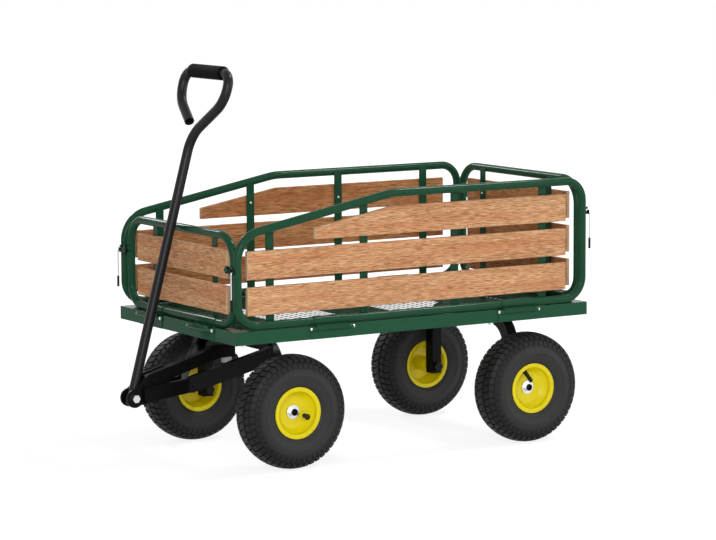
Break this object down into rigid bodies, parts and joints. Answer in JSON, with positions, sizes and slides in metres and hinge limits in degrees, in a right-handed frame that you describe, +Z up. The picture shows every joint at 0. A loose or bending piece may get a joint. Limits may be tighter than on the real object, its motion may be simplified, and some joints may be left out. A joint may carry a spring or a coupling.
{
  "type": "garden wagon",
  "caption": "Hand-pulled garden wagon with folding slatted panels on a mesh-floored steel tray, pneumatic wheels, turning front axle and a looped pull handle.",
  "frame": {"origin": "middle of the footprint: centre of the bounding box at ground level", "axes": "+X forward towards the pull handle, +Y to the wagon's left, +Z up"},
  "size_m": [1.104, 0.567, 0.9012],
  "materials": {
    "deck_paint": "gloss",
    "mesh_paint": "gloss",
    "panel_paint": "gloss",
    "wood": "satin",
    "zinc": "satin",
    "tyre": "matte",
    "rim_paint": "gloss",
    "valve_rubber": "matte",
    "chassis_paint": "satin",
    "handle_paint": "satin",
    "grip": "matte"
  },
  "bodies": {
    "deck": {"deck_tray": "deck_paint", "deck_mesh": "mesh_paint", "deck_bolts": "zinc", "hinge_leaves": "panel_paint", "hinge_pins": "zinc", "rear_axle": "chassis_paint", "rear_spindles": "zinc", "pivot_plate": "chassis_paint", "kingpin": "zinc", "front_panel_frame": "panel_paint", "front_slat_lower": "wood", "front_slat_middle": "wood", "front_latch_bolts": "zinc"},
    "steering": {"front_axle": "chassis_paint", "front_spindles": "zinc", "steering_plate": "chassis_paint", "tongue": "chassis_paint", "clevis_cheeks": "chassis_paint", "draw_brace_left": "chassis_paint", "draw_brace_right": "chassis_paint", "tongue_bolts": "zinc", "handle_bolt": "zinc"},
    "handle": {"handle_tube": "handle_paint", "handle_grip": "grip"},
    "rear_panel": {"rear_panel_frame": "panel_paint", "rear_slat_lower": "wood", "rear_slat_middle": "wood", "rear_slat_top": "wood", "rear_latch_bolts": "zinc"},
    "left_panel": {"left_panel_frame": "panel_paint", "left_panel_straps": "panel_paint", "left_slat_lower": "wood", "left_slat_middle": "wood", "left_slat_top": "wood"},
    "right_panel": {"right_panel_frame": "panel_paint", "right_panel_straps": "panel_paint", "right_slat_lower": "wood", "right_slat_middle": "wood", "right_slat_top": "wood"},
    "front_left_wheel": {"front_left_tyre": "tyre", "front_left_rim": "rim_paint", "front_left_valve": "valve_rubber"},
    "front_left_latch": {"front_left_latch_lever": "panel_paint", "front_left_latch_rod": "zinc"},
    "front_right_wheel": {"front_right_tyre": "tyre", "front_right_rim": "rim_paint", "front_right_valve": "valve_rubber"},
    "front_right_latch": {"front_right_latch_lever": "panel_paint", "front_right_latch_rod": "zinc"},
    "rear_left_wheel": {"rear_left_tyre": "tyre", "rear_left_rim": "rim_paint", "rear_left_valve": "valve_rubber"},
    "rear_left_latch": {"rear_left_latch_lever": "panel_paint", "rear_left_latch_rod": "zinc"},
    "rear_right_wheel": {"rear_right_tyre": "tyre", "rear_right_rim": "rim_paint", "rear_right_valve": "valve_rubber"},
    "rear_right_latch": {"rear_right_latch_lever": "panel_paint", "rear_right_latch_rod": "zinc"}
  },
  "joints": [
    {"name": "steering_turn", "type": "hinge", "parent": "deck", "child": "steering", "pos_m": [0.28502, 0, 0.29], "axis": [0, 0, 1], "range_deg": [-15, 15]},
    {"name": "handle_swing", "type": "hinge", "parent": "steering", "child": "handle", "pos_m": [0.53102, 0, 0.155], "axis": [0, 1, 0], "range_deg": [0, 110]},
    {"name": "left_panel_fold", "type": "hinge", "parent": "deck", "child": "left_panel", "pos_m": [-0.06198, 0.2785, 0.32], "axis": [-1, 0, 0], "range_deg": [0, 165]},
    {"name": "right_panel_fold", "type": "hinge", "parent": "deck", "child": "right_panel", "pos_m": [-0.06198, -0.2785, 0.32], "axis": [1, 0, 0], "range_deg": [0, 165]},
    {"name": "rear_panel_fold", "type": "hinge", "parent": "deck", "child": "rear_panel", "pos_m": [-0.54397, 0, 0.32], "axis": [0, -1, 0], "range_deg": [0, 165]},
    {"name": "front_left_wheel_spin", "type": "hinge", "parent": "steering", "child": "front_left_wheel", "pos_m": [0.24852, 0.227, 0.13], "axis": [0, 1, 0], "continuous": true},
    {"name": "front_right_wheel_spin", "type": "hinge", "parent": "steering", "child": "front_right_wheel", "pos_m": [0.24852, -0.227, 0.13], "axis": [0, 1, 0], "continuous": true},
    {"name": "rear_left_wheel_spin", "type": "hinge", "parent": "deck", "child": "rear_left_wheel", "pos_m": [-0.39348, 0.227, 0.13], "axis": [0, 1, 0], "continuous": true},
    {"name": "rear_right_wheel_spin", "type": "hinge", "parent": "deck", "child": "rear_right_wheel", "pos_m": [-0.39348, -0.227, 0.13], "axis": [0, 1, 0], "continuous": true},
    {"name": "front_left_latch_lift", "type": "hinge", "parent": "deck", "child": "front_left_latch", "pos_m": [0.41733, 0.24, 0.463], "axis": [1, 0, 0], "range_deg": [0, 16]},
    {"name": "front_right_latch_lift", "type": "hinge", "parent": "deck", "child": "front_right_latch", "pos_m": [0.41733, -0.24, 0.463], "axis": [-1, 0, 0], "range_deg": [0, 16]},
    {"name": "rear_left_latch_lift", "type": "hinge", "parent": "rear_panel", "child": "rear_left_latch", "pos_m": [-0.54427, 0.24, 0.541], "axis": [1, 0, 0], "range_deg": [0, 16]},
    {"name": "rear_right_latch_lift", "type": "hinge", "parent": "rear_panel", "child": "rear_right_latch", "pos_m": [-0.54427, -0.24, 0.541], "axis": [-1, 0, 0], "range_deg": [0, 16]}
  ]
}
